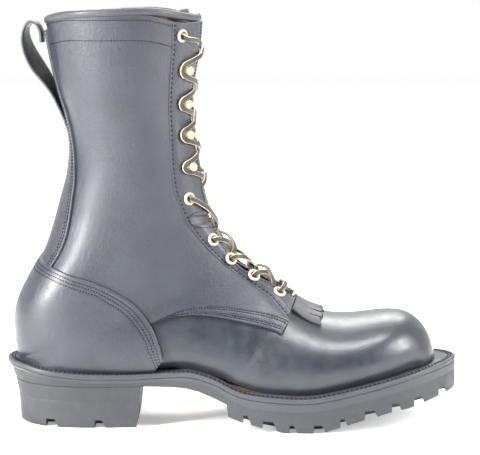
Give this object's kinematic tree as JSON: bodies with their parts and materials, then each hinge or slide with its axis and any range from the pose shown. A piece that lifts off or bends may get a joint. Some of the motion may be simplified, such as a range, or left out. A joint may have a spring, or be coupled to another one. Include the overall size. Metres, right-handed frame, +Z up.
{
  "type": "wildland fire boot",
  "caption": "Tall lace-up black leather wildland fire boot with lug sole, stacked heel, eyelets and speed hooks, fringed kiltie and rear pull loop.",
  "frame": {"origin": "on the ground under the middle of the boot's bounding box", "axes": "+X towards the toe along the boot's length, +Z up, -Y towards the lateral (outer) side"},
  "size_m": [0.314, 0.1106, 0.2939],
  "materials": {
    "black_leather": "full grain, semi-gloss, pebbled",
    "lining_leather": "matt flesh side",
    "stiffener_board": "matt resin board",
    "insole_leather": "matt vegetable-tanned",
    "tan_patch": "matt",
    "cork": "matt granular cork",
    "steel": "plain",
    "edge_leather": "black edge dressing, satin",
    "black_rubber": "matt",
    "cream_eyelet": "gloss enamel",
    "brass": "satin",
    "rawhide_lace": "black face with pale cut edges"
  },
  "bodies": {
    "boot": {"vamp": "black_leather", "quarter_lateral": "black_leather", "quarter_medial": "black_leather", "heel_counter": "black_leather", "backstay": "black_leather", "top_binding": "black_leather", "facing_lateral": "black_leather", "facing_medial": "black_leather", "pull_loop": "black_leather", "vamp_lining": "lining_leather", "collar_lining": "lining_leather", "heel_pad": "lining_leather", "toe_stiffener": "stiffener_board", "counter_stiffener": "stiffener_board", "insole": "insole_leather", "arch_patch": "tan_patch", "cork_filler": "cork", "steel_shank": "steel", "welt": "edge_leather", "midsole": "edge_leather", "heel_base": "edge_leather", "outsole": "black_rubber", "heel_lift": "black_rubber", "eyelet_lateral_1": "cream_eyelet", "eyelet_lateral_2": "cream_eyelet", "eyelet_lateral_3": "cream_eyelet", "eyelet_lateral_4": "cream_eyelet", "eyelet_lateral_5": "cream_eyelet", "eyelet_lateral_6": "cream_eyelet", "eyelet_medial_1": "cream_eyelet", "eyelet_medial_2": "cream_eyelet", "eyelet_medial_3": "cream_eyelet", "eyelet_medial_4": "cream_eyelet", "eyelet_medial_5": "cream_eyelet", "eyelet_medial_6": "cream_eyelet", "hook_lateral_1": "brass", "hook_lateral_2": "brass", "hook_lateral_3": "brass", "hook_lateral_4": "brass", "hook_medial_1": "brass", "hook_medial_2": "brass", "hook_medial_3": "brass", "hook_medial_4": "brass", "heel_screw_1": "steel", "heel_screw_2": "steel", "heel_screw_3": "steel", "heel_screw_4": "steel", "lace": "rawhide_lace"},
    "tongue_body": {"tongue": "black_leather"},
    "kiltie_body": {"kiltie": "black_leather"}
  },
  "joints": [
    {"name": "tongue_fold", "type": "hinge", "parent": "boot", "child": "tongue_body", "pos_m": [0.036, 0.0027, 0.085], "axis": [0, 1, 0], "range_deg": [-9, 0]},
    {"name": "kiltie_flip", "type": "hinge", "parent": "boot", "child": "kiltie_body", "pos_m": [0.0415, 0.003, 0.0893], "axis": [0, 1, 0], "range_deg": [-60, 0]}
  ]
}
